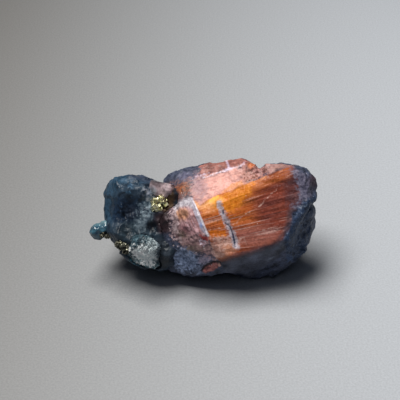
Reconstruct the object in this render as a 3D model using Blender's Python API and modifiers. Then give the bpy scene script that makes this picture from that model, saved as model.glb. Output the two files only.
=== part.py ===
"""Afghanite hand specimen, about 28 mm long, resting on its underside.

The main mass is one stone with a large fibrous cleavage face. A deep blue crystal has grown on
its left end, and it carries a small round knob crystal, a crust of white calcite, a block of
pink calcite and three clusters of pyrite cubes.

Every piece is drawn in display coordinates: X runs right, Y up the display plane and Z towards
the viewer, with the middle of the specimen at the origin. The display plane leans back by
DISPLAY_ELEVATION from the upright, and an empty carries it into the world. Outlines, places and
depths in the tables below are millimetres in display coordinates.
"""

import math
from collections import namedtuple

import bmesh
import bpy
from mathutils import Euler, Matrix, Vector, noise
from mathutils.bvhtree import BVHTree

MM = 0.001
DISPLAY_ELEVATION = math.radians(35)
REST_DROP = 6.7  # height of the display origin over the surface that the stone rests on
CONTACT_GAP = 0.08  # clearance between two minerals that touch
VOXEL = 0.22  # resolution at which the broken surfaces are worked before they are thinned
FINE_VOXEL = 0.13  # the same for the small minerals
SMOOTHING_LOSS = 0.10  # what remeshing and thinning take off the lumps, given back by the relief
SEATING = 0.32  # how deep the middle of a calcite lies under the surface that it grew on

# the way down, seen in display coordinates
DOWN = Vector((0, -math.cos(DISPLAY_ELEVATION), -math.sin(DISPLAY_ELEVATION)))

Fracture = namedtuple("Fracture", "point normal")
Mineral = namedtuple("Mineral", "place across upward deep turn")
Dent = namedtuple("Dent", "place radii depth")
Groove = namedtuple("Groove", "start end half_width depth")  # a ridge where the depth is negative

MAIN_OUTLINE = (
    (-4.9, 4.9), (-3.2, 5.7), (-0.8, 6.35), (1.4, 6.85), (4.4, 6.95), (5.9, 6.7), (6.7, 6.4),
    (7.6, 6.6), (9.6, 6.65), (12.0, 6.35), (13.2, 5.5), (13.75, 4.3), (13.7, 2.6), (13.7, 0.6),
    (13.1, -1.5), (12.8, -3.0), (11.6, -4.4), (9.4, -5.8), (7.0, -7.2), (5.8, -7.35), (4.0, -6.6),
    (2.4, -6.4), (1.0, -6.7), (-1.5, -6.6), (-4.3, -6.2), (-5.1, -4.2), (-6.2, -1.0), (-4.9, 2.2),
)
MAIN_DEPTHS = (7.4, 7.2)
MAIN_FRACTURES = {
    "fibrous face": Fracture((6.0, 0.0, 5.2), (0.08, 0.02, 1.0)),
    "bright band": Fracture((5.3, 3.3, 5.2), (-0.06, 0.30, 1.0)),
    "upper pale face": Fracture((5.0, 4.3, 4.85), (-0.28, 0.78, 1.0)),
    "upper left shoulder": Fracture((-1.5, 5.0, 3.4), (-0.75, 0.55, 0.60)),
    "granular left face": Fracture((-0.6, 0.0, 5.7), (-0.42, -0.22, 1.0)),
    "left end": Fracture((-5.2, 1.0, 3.4), (-1.0, 0.35, 0.75)),
    "lower left face": Fracture((-2.0, -3.5, 4.5), (-0.25, -0.75, 0.85)),
    "smooth lower face": Fracture((2.2, -4.85, 5.6), (0.50, -1.60, 1.0)),
    "right rim": Fracture((10.6, -0.3, 4.85), (1.15, -0.60, 1.0)),
    "upper right veil": Fracture((11.6, 3.4, 4.75), (0.80, 0.10, 1.0)),
    "back": Fracture((2.0, 0.0, -6.0), (0.10, 0.25, -1.0)),
    "back left": Fracture((-3.0, 1.0, -5.0), (-0.70, 0.30, -0.80)),
    "back right": Fracture((9.0, 0.0, -4.8), (0.70, 0.10, -0.75)),
    "back top": Fracture((3.0, 5.9, -3.2), (0.10, 0.90, -0.60)),
}
MAIN_DENTS = (
    Dent((0.9, -5.9, 4.0), (1.3, 0.7, 1.3), 0.6),  # shell-shaped chip in the lower edge
    Dent((6.7, 6.7, 1.0), (0.9, 0.8, 4.0), 0.3),  # saddle between the two upper humps
    Dent((7.0, 5.5, 4.0), (1.2, 0.6, 1.2), 0.35),  # pitted hollow above the fibrous face
    Dent((-3.9, 2.9, 4.0), (0.7, 1.3, 2.0), 0.8),  # shadowed cleft beside the pink calcite
)
CLEAN_FACES = {"fibrous face": 0.85, "smooth lower face": 0.85, "upper pale face": 0.45}
RIM_ROUGHNESS = 0.9  # how much stronger the relief is where the stone faces right
FIBRE_APEX = (-21.4, -6.4)  # the fibres of the large face fan out from this far point
VEIN = Groove((1.5, 1.9), (4.0, -3.2), 0.42, 0.28)
WEDGE_VEIN = Groove((-2.15, 2.0), (-0.05, -2.15), 0.55, -0.20)

BLUE_OUTLINE = (
    (-3.0, 3.2), (-4.6, 4.3), (-7.2, 4.8), (-9.2, 5.5), (-10.9, 5.2), (-11.8, 3.9), (-12.25, 1.5),
    (-12.15, 0.0), (-11.5, -2.0), (-10.4, -3.6), (-9.2, -4.9), (-8.0, -5.95), (-6.1, -6.1),
    (-3.8, -6.0), (-2.2, -4.0), (-1.8, 0.0),
)
BLUE_DEPTHS = (4.6, 4.8)
BLUE_FRACTURES = {
    "front": Fracture((-9.0, 0.0, 3.7), (0.03, 0.06, 1.0)),
    "upper front": Fracture((-9.0, 4.4, 2.6), (-0.05, 0.90, 0.70)),
    "left": Fracture((-11.2, 1.0, 2.2), (-0.90, 0.10, 0.60)),
    "lower front": Fracture((-8.0, -4.0, 3.0), (-0.30, -0.70, 0.75)),
    "back": Fracture((-8.0, 0.0, -3.6), (-0.30, 0.20, -1.0)),
    "back low": Fracture((-8.0, -4.4, -2.2), (-0.20, -0.80, -0.70)),
    "back top": Fracture((-8.0, 4.6, -2.0), (-0.10, 0.80, -0.60)),
}
BLUE_DENTS = (
    Dent((-9.4, -0.2, 3.9), (1.7, 2.6, 1.6), 1.1),  # dark hollow of the crystal
    Dent((-5.6, 2.2, 3.6), (1.2, 1.3, 1.2), 0.45),  # seat of the upper pyrite
    Dent((-6.2, -0.9, 3.8), (0.7, 0.8, 1.2), 0.6),  # dark hole beside the mass
)

PINK_CALCITE = Mineral((-5.15, 3.85), 2.6, 2.0, 1.9, (8, -14, -8))
CALCITE_CRUST = Mineral((-7.1, -4.0), 4.0, 5.0, 1.7, (40, -16, -8))
CRUST_OUTLINE = (  # in half widths and half heights of the crust
    (-0.45, 0.88), (0.15, 1.04), (0.70, 0.76), (1.0, 0.28), (0.80, -0.24), (0.95, -0.64),
    (0.40, -1.0), (-0.30, -0.92), (-0.85, -0.76), (-1.1, -0.24), (-0.90, 0.28), (-0.85, 0.68),
)
UPPER_PYRITE = Mineral((-5.5, 1.85), 2.0, 1.9, 1.5, (10, 15, 20))
LOWER_PYRITE = Mineral((-9.95, -3.4), 2.3, 1.2, 1.4, (-10, 20, -42))
NECK_PYRITE = Mineral((-12.0, -1.9), 1.3, 0.9, 1.0, (25, 10, -12))
NECK_DEPTH = 1.5
KNOB_PLACE = (-13.15, -1.5, 1.2)
KNOB_RADIUS = 1.05
KNOB_NECK_PLACE = (-12.3, -0.95, 1.0)
KNOB_NECK_RADIUS = 0.8
KNOB_FACE_REACH = 0.86  # distance of the flat growth faces from the middle, in radii
KNOB_FACES = ((0.3, 1, 0.5), (-1, 0.5, 0.4), (-0.4, -0.8, 0.7), (0.3, -0.3, 1), (-0.8, -0.2, -0.8))

COLOURS = {
    "afghanite_mass": (0.36, 0.13, 0.07, 0.35),
    "blue_crystal": (0.022, 0.050, 0.090, 0.25),
    "knob_crystal": (0.040, 0.085, 0.110, 0.20),
    "calcite_crust": (0.55, 0.60, 0.58, 0.50),
    "pink_calcite": (0.42, 0.30, 0.30, 0.45),
    "pyrite": (0.56, 0.50, 0.22, 0.30),
}
TRIANGLES = {
    "afghanite_mass": 4300, "blue_crystal": 1500, "calcite_crust": 640, "pink_calcite": 240,
    "knob_crystal": 280,
}


def clear_scene():
    for obj in list(bpy.data.objects):
        bpy.data.objects.remove(obj, do_unlink=True)


def material(name, metallic=0.0):
    """Principled material with the mineral's colour and roughness."""
    red, green, blue, roughness = COLOURS[name]
    made = bpy.data.materials.new(name)
    made.use_nodes = True
    surface = made.node_tree.nodes["Principled BSDF"]
    surface.inputs["Base Color"].default_value = (red, green, blue, 1)
    surface.inputs["Roughness"].default_value = roughness
    surface.inputs["Metallic"].default_value = metallic
    return made


def set_material(obj, surface):
    obj.data.materials.clear()
    obj.data.materials.append(surface)


def add_object(name, bm, collection):
    """Object made from bm, whose points are display millimetres."""
    bmesh.ops.recalc_face_normals(bm, faces=bm.faces)
    mesh = bpy.data.meshes.new(name)
    bm.to_mesh(mesh)
    bm.free()
    obj = bpy.data.objects.new(name, mesh)
    collection.objects.link(obj)
    return obj


def bake_modifiers(obj):
    """Replaces the object's mesh by what its modifiers make of it."""
    evaluated = obj.evaluated_get(bpy.context.evaluated_depsgraph_get())
    mesh = bpy.data.meshes.new_from_object(evaluated)
    obj.modifiers.clear()
    obj.data = mesh


def smooth_ring(points, steps=3):
    """Closed Catmull-Rom curve through the outline's points."""
    ring = []
    for i in range(len(points)):
        before, here, after, beyond = (
            Vector(points[(i + k) % len(points)]) for k in (-1, 0, 1, 2)
        )
        for step in range(steps):
            t = step / steps
            ring.append(
                0.5 * (
                    2 * here + (after - before) * t
                    + (2 * before - 5 * here + 4 * after - beyond) * t * t
                    + (3 * here - before - 3 * after + beyond) * t * t * t
                )
            )
    return ring


def pillow(outline, depths, layers=13, fullness=0.42):
    """Rounded body lofted from the outline: widest in the display plane, closing to both sides."""
    bm = bmesh.new()
    ring = smooth_ring(outline)
    middle = sum(ring, Vector((0, 0))) / len(ring)
    front, back = depths
    sections = []
    for layer in range(layers):
        angle = math.radians(-80 + 160 * layer / (layers - 1))
        shrink = math.cos(angle) ** fullness
        z = math.sin(angle) * (front if angle > 0 else back)
        places = [middle + (p - middle) * shrink for p in ring]
        sections.append([bm.verts.new((p.x, p.y, z)) for p in places])
    for lower, upper in zip(sections, sections[1:]):
        for i in range(len(ring)):
            j = (i + 1) % len(ring)
            bm.faces.new((lower[i], lower[j], upper[j], upper[i]))
    bm.faces.new(list(reversed(sections[0])))
    bm.faces.new(sections[-1])
    return bm


def break_off(bm, point, normal):
    """Cuts away what lies beyond a plane and closes the cut with a flat face."""
    parts = bm.verts[:] + bm.edges[:] + bm.faces[:]
    cut = bmesh.ops.bisect_plane(
        bm, geom=parts, dist=1e-5, plane_co=point, plane_no=Vector(normal).normalized(), clear_outer=True
    )
    edges = [part for part in cut["geom_cut"] if isinstance(part, bmesh.types.BMEdge)]
    bmesh.ops.holes_fill(bm, edges=edges)


def voxel_remesh(obj, size=VOXEL):
    """Even, closed mesh over the broken body."""
    modifier = obj.modifiers.new("remesh", "REMESH")
    modifier.mode = "VOXEL"
    modifier.voxel_size = size
    bake_modifiers(obj)


def thin(obj, triangles):
    """Reduces the mesh to about that many triangles, which keeps flat faces and sharp edges."""
    triangulate = obj.modifiers.new("triangulate", "TRIANGULATE")
    triangulate.quad_method = "FIXED"
    bake_modifiers(obj)
    decimate = obj.modifiers.new("decimate", "DECIMATE")
    decimate.ratio = min(1.0, triangles / len(obj.data.polygons))
    bake_modifiers(obj)


def facets(point, size, height):
    """Broken surface: cells of about that size, each a flat facet with its own tilt and height."""
    cell = noise.voronoi(point / size)[1][0]
    tilt = Vector(noise.noise(cell * 3.7 + Vector((shift, 0, 0))) for shift in (0, 19, 47))
    return height * (noise.noise(cell * 5.3) + tilt.dot(point / size - cell))


def dent_depth(point, dents):
    """How far the hollows push the surface in at this point."""
    depth = 0.0
    for dent in dents:
        offset = point - Vector(dent.place)
        reach = math.sqrt(sum((a / b) ** 2 for a, b in zip(offset, dent.radii)))
        if reach < 1.5:
            depth += dent.depth * (0.5 + 0.5 * math.cos(math.pi * min(1.0, reach / 1.5)))
    return depth


def groove_depth(point, groove):
    """Depth of a straight groove in the front of the stone."""
    start, end = Vector(groove.start), Vector(groove.end)
    along = (end - start).normalized()
    offset = Vector((point.x, point.y)) - start
    reach = offset.dot(along)
    if point.z < 2 or not 0 < reach < (end - start).length:
        return 0.0
    aside = abs(offset.dot(Vector((-along.y, along.x)))) / groove.half_width
    return groove.depth * max(0.0, 1 - aside * aside)


def reshape(obj, offset_of):
    """Moves each point along its normal by offset_of(point, normal)."""
    mesh = obj.data
    moves = [v.normal * offset_of(v.co.copy(), v.normal.copy()) for v in mesh.vertices]
    for vertex, move in zip(mesh.vertices, moves):
        vertex.co += move
    mesh.update()


def facing(normal, name):
    """1 where the surface lies on that fracture of the mass, falling to 0 where it turns away."""
    along = normal.dot(Vector(MAIN_FRACTURES[name].normal).normalized())
    return min(1.0, max(0.0, (along - 0.93) / 0.06))


def main_relief(point, normal):
    """Facets, lumps and grooves of the main mass, quieter on its two clean faces."""
    clean = {name: quiet * facing(normal, name) for name, quiet in CLEAN_FACES.items()}
    buried = min(1.0, max(0.0, (-normal.x - 0.65) / 0.15))  # the end that the blue crystal covers
    roughness = (1 - max(clean.values())) * (1 + RIM_ROUGHNESS * max(0.0, normal.x)) * (1 - buried)
    broken = facets(point, 2.8, 0.50) + facets(point + Vector((5, 2, 9)), 1.3, 0.17)
    from_apex = Vector((point.x, point.y)) - Vector(FIBRE_APEX)
    across_fibres = math.atan2(from_apex.y, from_apex.x) * from_apex.length
    fibres = facets(Vector((0.10 * from_apex.length, across_fibres, 0)), 0.75, 0.15)
    return (
        SMOOTHING_LOSS + roughness * (broken + 0.30 * noise.noise(point / 3.1))
        + clean["fibrous face"] * fibres - dent_depth(point, MAIN_DENTS)
        - groove_depth(point, VEIN) - groove_depth(point, WEDGE_VEIN)
    )


def blue_relief(point, normal):
    """Growth facets of the blue crystal, with its dark hollow."""
    lumps = 0.30 * noise.noise(point / 2.3 + Vector((4, 1, 9)))
    growth = facets(point + Vector((1, 4, 2)), 2.1, 0.42) + facets(point, 1.0, 0.14)
    return SMOOTHING_LOSS + lumps + growth - dent_depth(point, BLUE_DENTS)


def crust_relief(point, normal):
    """Knobbly grains of the calcite crust."""
    distance = noise.voronoi(point / 0.8)[0][0]
    return 0.28 * (0.5 - distance) + 0.35 * noise.noise(point / 1.5)


def knob_relief(point, normal):
    """Small growth lumps of the knob crystal."""
    return 0.12 * noise.noise(point / 0.5) + 0.05


def block_relief(point, normal):
    """Slight waviness of a cleaved calcite block."""
    return 0.10 * noise.noise(point / 0.9)


def keep_largest(obj):
    """Removes loose chips that a cut has left beside the main body."""
    bm = bmesh.new()
    bm.from_mesh(obj.data)
    left, bodies = set(bm.verts), []
    while left:
        body, edge = set(), [left.pop()]
        while edge:
            vertex = edge.pop()
            body.add(vertex)
            found = [e.other_vert(vertex) for e in vertex.link_edges]
            edge += [v for v in found if v in left]
            left.difference_update(found)
        bodies.append(body)
    bodies.sort(key=len)
    for body in bodies[:-1]:
        bmesh.ops.delete(bm, geom=list(body), context="VERTS")
    bm.to_mesh(obj.data)
    bm.free()


def boolean(obj, other, operation, solver="EXACT"):
    modifier = obj.modifiers.new(operation.lower(), "BOOLEAN")
    modifier.operation = operation
    modifier.solver = solver
    modifier.object = other
    bake_modifiers(obj)


def make_room(obj, neighbour):
    """Cuts the neighbour, grown by the contact gap, out of obj."""
    cutter = neighbour.copy()
    cutter.data = neighbour.data.copy()
    bpy.context.scene.collection.objects.link(cutter)
    reshape(cutter, lambda point, normal: CONTACT_GAP)
    boolean(obj, cutter, "DIFFERENCE", "MANIFOLD")  # EXACT loses bodies with such ragged cutters
    bpy.data.objects.remove(cutter)
    keep_largest(obj)


def surface_depth(hosts, place):
    """Depth of the foremost host surface under a place on the display plane."""
    depths = []
    for host in hosts:
        tree = BVHTree.FromPolygons(
            [v.co for v in host.data.vertices], [p.vertices for p in host.data.polygons]
        )
        hit = tree.ray_cast(Vector((*place, 30)), Vector((0, 0, -1)))[0]
        if hit:
            depths.append(hit.z)
    return max(depths)


def placed(bm, mineral, depth):
    """Turns a centred shape and moves it to its place on the specimen."""
    turn = Euler([math.radians(a) for a in mineral.turn]).to_matrix().to_4x4()
    place = Matrix.Translation((*mineral.place, depth))
    bmesh.ops.transform(bm, matrix=place @ turn, verts=bm.verts)


def grain_box(bm, mineral, share):
    """Box of a mineral grain, share of its full size."""
    size = Matrix.Diagonal((mineral.across * share, mineral.upward * share, mineral.deep * share, 1))
    bmesh.ops.create_cube(bm, size=1, matrix=size)


def make_main_mass(collection):
    bm = pillow(MAIN_OUTLINE, MAIN_DEPTHS)
    for fracture in MAIN_FRACTURES.values():
        break_off(bm, fracture.point, fracture.normal)
    obj = add_object("afghanite_mass", bm, collection)
    voxel_remesh(obj)
    reshape(obj, main_relief)
    voxel_remesh(obj)
    thin(obj, TRIANGLES[obj.name])
    return obj


def make_blue_crystal(collection):
    bm = pillow(BLUE_OUTLINE, BLUE_DEPTHS)
    for fracture in BLUE_FRACTURES.values():
        break_off(bm, fracture.point, fracture.normal)
    obj = add_object("blue_crystal", bm, collection)
    voxel_remesh(obj)
    reshape(obj, blue_relief)
    voxel_remesh(obj)
    thin(obj, TRIANGLES[obj.name])
    return obj


def make_crust(collection, depth):
    """White calcite, a ragged knobbly lens that is half sunk in the blue crystal."""
    crust = CALCITE_CRUST
    outline = [(x * crust.across / 2, y * crust.upward / 2) for x, y in CRUST_OUTLINE]
    bm = pillow(outline, (crust.deep / 2, crust.deep / 2))
    placed(bm, crust, depth - SEATING)
    obj = add_object("calcite_crust", bm, collection)
    voxel_remesh(obj, FINE_VOXEL)
    reshape(obj, crust_relief)
    thin(obj, TRIANGLES[obj.name])
    return obj


def make_pink_block(collection, depth):
    """Pink calcite, a cleaved block with its corners broken off."""
    bm = bmesh.new()
    grain_box(bm, PINK_CALCITE, 1.0)
    for corner in ((1, 1, 1), (-1, 1, 1), (-1, -1, 1), (1, -1, 0.4)):
        half = Vector((PINK_CALCITE.across, PINK_CALCITE.upward, PINK_CALCITE.deep)) / 2
        place = Vector(c * h * 0.8 for c, h in zip(corner, half))
        break_off(bm, place, corner)
    placed(bm, PINK_CALCITE, depth - SEATING)
    obj = add_object("pink_calcite", bm, collection)
    voxel_remesh(obj, FINE_VOXEL)
    reshape(obj, block_relief)
    thin(obj, TRIANGLES[obj.name])
    return obj


def make_pyrite(name, collection, mineral, depth, cubes):
    """Cluster of intergrown pyrite cubes around one larger cube."""
    bm = bmesh.new()
    grain_box(bm, mineral, 0.72)
    placed(bm, mineral, depth)
    cluster = add_object(name, bm, collection)
    for n in range(cubes):
        angle = 2.4 * n  # golden-angle spacing round the larger cube
        side = 0.34 + 0.10 * math.sin(5.1 * n)
        bm = bmesh.new()
        grain_box(bm, mineral, side)
        turn = Euler((1.3 * n, 0.9 * n + 0.4, 1.7 * n)).to_matrix().to_4x4()
        bmesh.ops.transform(bm, matrix=turn, verts=bm.verts)
        away = Vector((
            math.cos(angle) * mineral.across * 0.34,
            math.sin(angle) * mineral.upward * 0.34,
            mineral.deep * (0.30 - 0.25 * (n % 3) / 2),
        ))
        bmesh.ops.translate(bm, vec=away, verts=bm.verts)
        placed(bm, mineral, depth)
        cube = add_object("cube", bm, collection)
        boolean(cluster, cube, "UNION")
        bpy.data.objects.remove(cube)
    return cluster


def make_knob(collection):
    """Small rounded crystal, a lumpy ball with flat growth faces on a short neck."""
    bm = bmesh.new()
    bmesh.ops.create_icosphere(
        bm, subdivisions=4, radius=KNOB_RADIUS, matrix=Matrix.Translation(KNOB_PLACE)
    )
    for face in KNOB_FACES:
        normal = Vector(face).normalized()
        break_off(bm, Vector(KNOB_PLACE) + normal * KNOB_RADIUS * KNOB_FACE_REACH, normal)
    bmesh.ops.create_icosphere(
        bm, subdivisions=4, radius=KNOB_NECK_RADIUS, matrix=Matrix.Translation(KNOB_NECK_PLACE)
    )
    obj = add_object("knob_crystal", bm, collection)
    voxel_remesh(obj, FINE_VOXEL)
    reshape(obj, knob_relief)
    thin(obj, TRIANGLES[obj.name])
    return obj


def sit_flat(obj):
    """Breaks the underside to the level that the specimen rests on."""
    bm = bmesh.new()
    bm.from_mesh(obj.data)
    break_off(bm, DOWN * REST_DROP, DOWN)
    bm.to_mesh(obj.data)
    bm.free()


def world_box(objects):
    bpy.context.view_layer.update()
    corners = [obj.matrix_world @ v.co for obj in objects for v in obj.data.vertices]
    low = Vector(min(c[i] for c in corners) for i in range(3))
    high = Vector(max(c[i] for c in corners) for i in range(3))
    return low, high


def set_on_origin(pieces):
    """Hangs the pieces on an empty that holds the display plane, centred over the origin."""
    display = bpy.data.objects.new("display_plane", None)
    pieces[0].users_collection[0].objects.link(display)
    display.rotation_euler = (math.pi / 2 - DISPLAY_ELEVATION, 0, 0)
    for piece in pieces:
        piece.data.transform(Matrix.Scale(MM, 4))
        piece.parent = display
    low, high = world_box(pieces)
    display.location = (-(low.x + high.x) / 2, -(low.y + high.y) / 2, REST_DROP * MM)
    return display


def build():
    clear_scene()
    collection = bpy.data.collections.new("afghanite_specimen")
    bpy.context.scene.collection.children.link(collection)

    mass = make_main_mass(collection)
    blue = make_blue_crystal(collection)
    hosts = [mass, blue]
    crust = make_crust(collection, surface_depth(hosts, CALCITE_CRUST.place))
    pink = make_pink_block(collection, surface_depth(hosts, PINK_CALCITE.place))
    knob = make_knob(collection)
    pyrites = [
        make_pyrite("upper_pyrite", collection, UPPER_PYRITE, surface_depth(hosts, UPPER_PYRITE.place), 9),
        make_pyrite("lower_pyrite", collection, LOWER_PYRITE, surface_depth(hosts, LOWER_PYRITE.place), 7),
        make_pyrite("neck_pyrite", collection, NECK_PYRITE, NECK_DEPTH, 5),
    ]
    for pyrite in pyrites:
        for host in (mass, blue, crust, pink, knob):
            make_room(host, pyrite)
    for mineral in (crust, pink):
        make_room(blue, mineral)
        make_room(mass, mineral)
    make_room(blue, mass)
    make_room(knob, blue)
    sit_flat(mass)

    for piece in (mass, blue, crust, pink, knob):
        set_material(piece, material(piece.name))
    golden = material("pyrite", metallic=1.0)
    for pyrite in pyrites:
        set_material(pyrite, golden)
    set_on_origin([mass, blue, crust, pink, knob, *pyrites])


build()
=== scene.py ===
"""Afghanite specimen: fine broken surfaces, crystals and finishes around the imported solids.

Each stone piece is worked in display coordinates, in millimetres: X runs right, Y up the display
plane and Z towards the viewer. The display plane rises from the floor at DISPLAY_TILT.
A finished piece is carried back into the frame, so that its object stays at the origin.
"""

import math
from collections import namedtuple

import bmesh
import bpy
import numpy as np
from bpy.props import FloatProperty, FloatVectorProperty, IntProperty, PointerProperty
from mathutils import Euler, Matrix, Vector, noise


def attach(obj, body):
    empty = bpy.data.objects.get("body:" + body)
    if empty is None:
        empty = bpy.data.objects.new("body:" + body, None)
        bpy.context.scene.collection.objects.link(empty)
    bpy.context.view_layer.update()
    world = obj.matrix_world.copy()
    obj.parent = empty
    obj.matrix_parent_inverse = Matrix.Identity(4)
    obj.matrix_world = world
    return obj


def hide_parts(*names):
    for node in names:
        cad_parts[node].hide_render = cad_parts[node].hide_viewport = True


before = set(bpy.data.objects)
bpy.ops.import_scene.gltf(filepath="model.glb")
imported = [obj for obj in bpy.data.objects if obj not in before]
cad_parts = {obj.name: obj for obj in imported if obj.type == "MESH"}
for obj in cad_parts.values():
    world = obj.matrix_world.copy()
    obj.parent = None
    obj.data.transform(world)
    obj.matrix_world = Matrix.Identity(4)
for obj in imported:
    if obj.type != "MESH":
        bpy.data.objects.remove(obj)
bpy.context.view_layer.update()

bl_info = {
    "name": "Afghanite Specimen",
    "version": (1, 0, 0),
    "blender": (4, 5, 0),
    "location": "View3D > Sidebar > Afghanite",
    "description": "Fine stone surfaces, crystals and finishes for an afghanite specimen",
    "category": "Add Mesh",
}

MM = 0.001
DISPLAY_TILT = math.pi / 2 - math.radians(35)
DISPLAY_MIDDLE = Vector((0.2387, -0.0797, 6.7)) * MM  # middle of the display plane in the frame
TO_WORLD = (
    Matrix.Translation(DISPLAY_MIDDLE)
    @ Matrix.Rotation(DISPLAY_TILT, 4, "X")
    @ Matrix.Scale(MM, 4)
)
TO_DISPLAY = TO_WORLD.inverted()
MERGE = 1e-6  # metres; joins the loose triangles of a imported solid
FRONT = 0.3  # millimetres; painted zones fade out on surfaces that lie further back
FADE = 1.5  # how fast they fade there
HOLD = 3  # how sharply a zone stops at the edge of the zone that holds it
GROWTH = 0.05  # millimetres that each mineral grows into its neighbours, which closes the seams
FIBRE_APEX = (-21.4, -6.4)  # the fibres fan out from this far point
FIBRE_REACH = 27.0  # millimetres from that point to the middle of the fibrous face
CRUST_HEART = (-6.8, -4.8)  # the calcite needles of the crust fan out from here
CRUST_REACH = 1.2  # millimetres across which their width is true
BLADE_TILT = math.radians(-66.7)  # direction of the thin blades beside the wedge vein

Area = namedtuple("Area", "outline")  # closed outline on the display plane
Lines = namedtuple("Lines", "runs half_width")  # open lines with a width
Blob = namedtuple("Blob", "place radii")  # ellipsoid
# a painted zone: its two colours and its shape, its soft edge and how far the pattern moves that edge
# (millimetres), and how much it covers; within names an earlier zone that holds this one; fill caps how
# far inside a point counts, so that below 0 only the peaks of the pattern are painted
Zone = namedtuple(
    "Zone", "name dark light shape soft ragged pattern strength within fill", defaults=(1.0, "", 9.0),
)
# a noise pattern: features per millimetre, levels of detail, the range that is spread over 0 to 1, and
# its stretch along, across and into the stone
Grain = namedtuple("Grain", "per_mm detail low high stretch", defaults=(None,))

# Real fibres are finer still; these are as coarse as they need to be to show.
CRYSTAL_GRAINS = 3.2  # grains of 0.3 mm
SPECKS = 2.2  # one spot in each 0.45 mm, for the painted glints and for the light grains
CLOUD = Grain(1.1, 6, 0.32, 0.68)  # stains of 0.9 mm
SMOOTH = Grain(0.6, 4, 0.3, 0.7)  # broad shades of 1.7 mm
SUGAR = Grain(3.0, 4, 0.32, 0.68)  # grit of 0.3 mm
BROAD_FIBRES = Grain(1.5, 3, 0.34, 0.66, (0.05, 1, 0.2))  # bundles 0.7 mm wide and 13 mm long
FINE_FIBRES = Grain(5.0, 4, 0.34, 0.66, (0.045, 1, 0.2))  # fibres 0.2 mm wide
THREADS = Grain(3.2, 3, 0.3, 0.7, (0.035, 1, 0.1))  # pale threads 0.3 mm wide and 9 mm long
SILK_SHEEN = Grain(8.0, 3, 0.3, 0.7, (0.05, 1, 0.2))  # ribs of 0.12 mm
NEEDLES = Grain(2.4, 3, 0.38, 0.62, (0.5, 1, 0.5))  # calcite needles 0.4 mm wide
BLADES = Grain(3.2, 4, 0.4, 0.6, (0.1, 1, 0.3))  # blades 0.3 mm wide
KNOB_CLOUD = Grain(1.6, 4, 0.3, 0.7)  # stains of 0.6 mm
TARNISH = Grain(1.8, 4, 0.4, 0.6)  # dull spots of 0.55 mm
CUBE_STRIPES = Grain(4.0, 3, 0.3, 0.7, (0.3, 2.5, 0.3))  # growth stripes of 0.1 mm
FLOOR_GRIT = Grain(4.0, 4, 0.35, 0.65)  # paint grit of 0.25 mm

# heights and depths of the relief, in millimetres
RIM_BREAK = 0.10
GRAIN_HEIGHT = 0.12
PIT_DEPTH = 0.2
BLADE_HEIGHT = 0.10
GRIT = 0.02
ZONE_RELIEF = {  # zones that stand out or lie deep: how far, and the half width of their edge
    "wedge_edge": (0.08, 0.15), "vein": (-0.06, 0.2), "crack": (-0.12, 0.08), "lens_shadow": (-0.15, 0.1),
    "lens": (0.30, 0.35),
}
CROWN_WEAR = 0.05
KNOB_WEAR = 0.14
KNOB_SHIFT = 0.12  # brings the knob closer to the stone
STRIPE_DEPTH = 0.02 * MM  # growth stripes on the pyrite cubes
BUMP = 0.03 * MM  # depth of the finest grit, which only the finishes show

# places on the smaller minerals, on the display plane
CRYSTAL_SEAM = -6.5  # the deep blue crystal meets the main stone to the right of this
CROWN = 4.4
KNOB_SEAM = -12.3
CRUST_FOOT = -4.7
BLOCK_TOP, BLOCK_FALL = (-6.34, 4.75), 0.234  # a point of the pink block's flat top, and its fall
BLOCK_CORNER = (-4.9, 3.9)

AFGHANITE = {"IOR": 1.53}
CALCITE = {"IOR": 1.6}
WORN = {"Specular IOR Level": 0.25}  # dulled by breakage, where a clean surface has 0.5
COLOURS = {"data_type": "RGBA"}
WEIGHTED_SUM = {"operation": "MULTIPLY_ADD"}
SOFT_STEP = {"interpolation_type": "SMOOTHSTEP"}
FLOOR_WASH = 60  # millimetres over which the floor's colour changes, to each side: painted shade, darker to the left
LAMP_TARGET = Vector((0, 0, 0.006))
VIEW_MIDDLE = (-0.494, 2.346)  # middle of the image on the display plane
VIEW_WIDTH = 49.38  # millimetres that the image takes in there

RIDGE = ((-0.5, 1.5), (1.2, 2.7), (3.7, 3.6), (5.5, 4.4), (7.3, 5.1), (9.05, 5.85), (10.5, 6.35))
FACET_TOP = ((2.0, -5.0), (3.3, -4.5), (4.9, -4.05), (6.7, -3.45), (8.1, -2.95), (9.2, -2.3))
RIM_EDGE = ((8.6, -2.7), (9.5, -1.6), (10.1, -0.4), (10.25, 0.8), (10.8, 1.6))
VEIN_RUN = (
    (1.77, 2.0), (1.95, 1.33), (2.3, 0.44), (2.78, -0.45), (3.19, -1.34), (3.55, -2.3), (3.82, -3.2),
)
CRACK_RUN = ((2.5, -0.35), (3.08, -0.85), (3.37, -1.66), (3.62, -2.52), (3.73, -3.2))
WEDGE_EDGE = ((-1.5, 2.45), (-1.1, 1.72), (-0.55, 0.44), (-0.08, -0.63), (0.45, -1.85))
LENS_ARC = ((-0.24, -6.05), (0.0, -5.65), (0.6, -5.2), (1.4, -4.95), (1.9, -5.05))
DARK_RED = Zone("dark_red", "#1c1416", "#44343a", Area((
    (-6.0, 0.4), (-4.9, 1.3), (-3.9, 1.0), (-3.9, -1.5), (-5.3, -1.8), (-6.0, -1.0),
)), 0.5, 0.5, "cloud")  # the dark red seam, painted on both minerals that meet there

CRYSTAL_HOLLOW = Blob((-9.0, -0.4, 3.2), (2.0, 2.4, 4))

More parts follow.
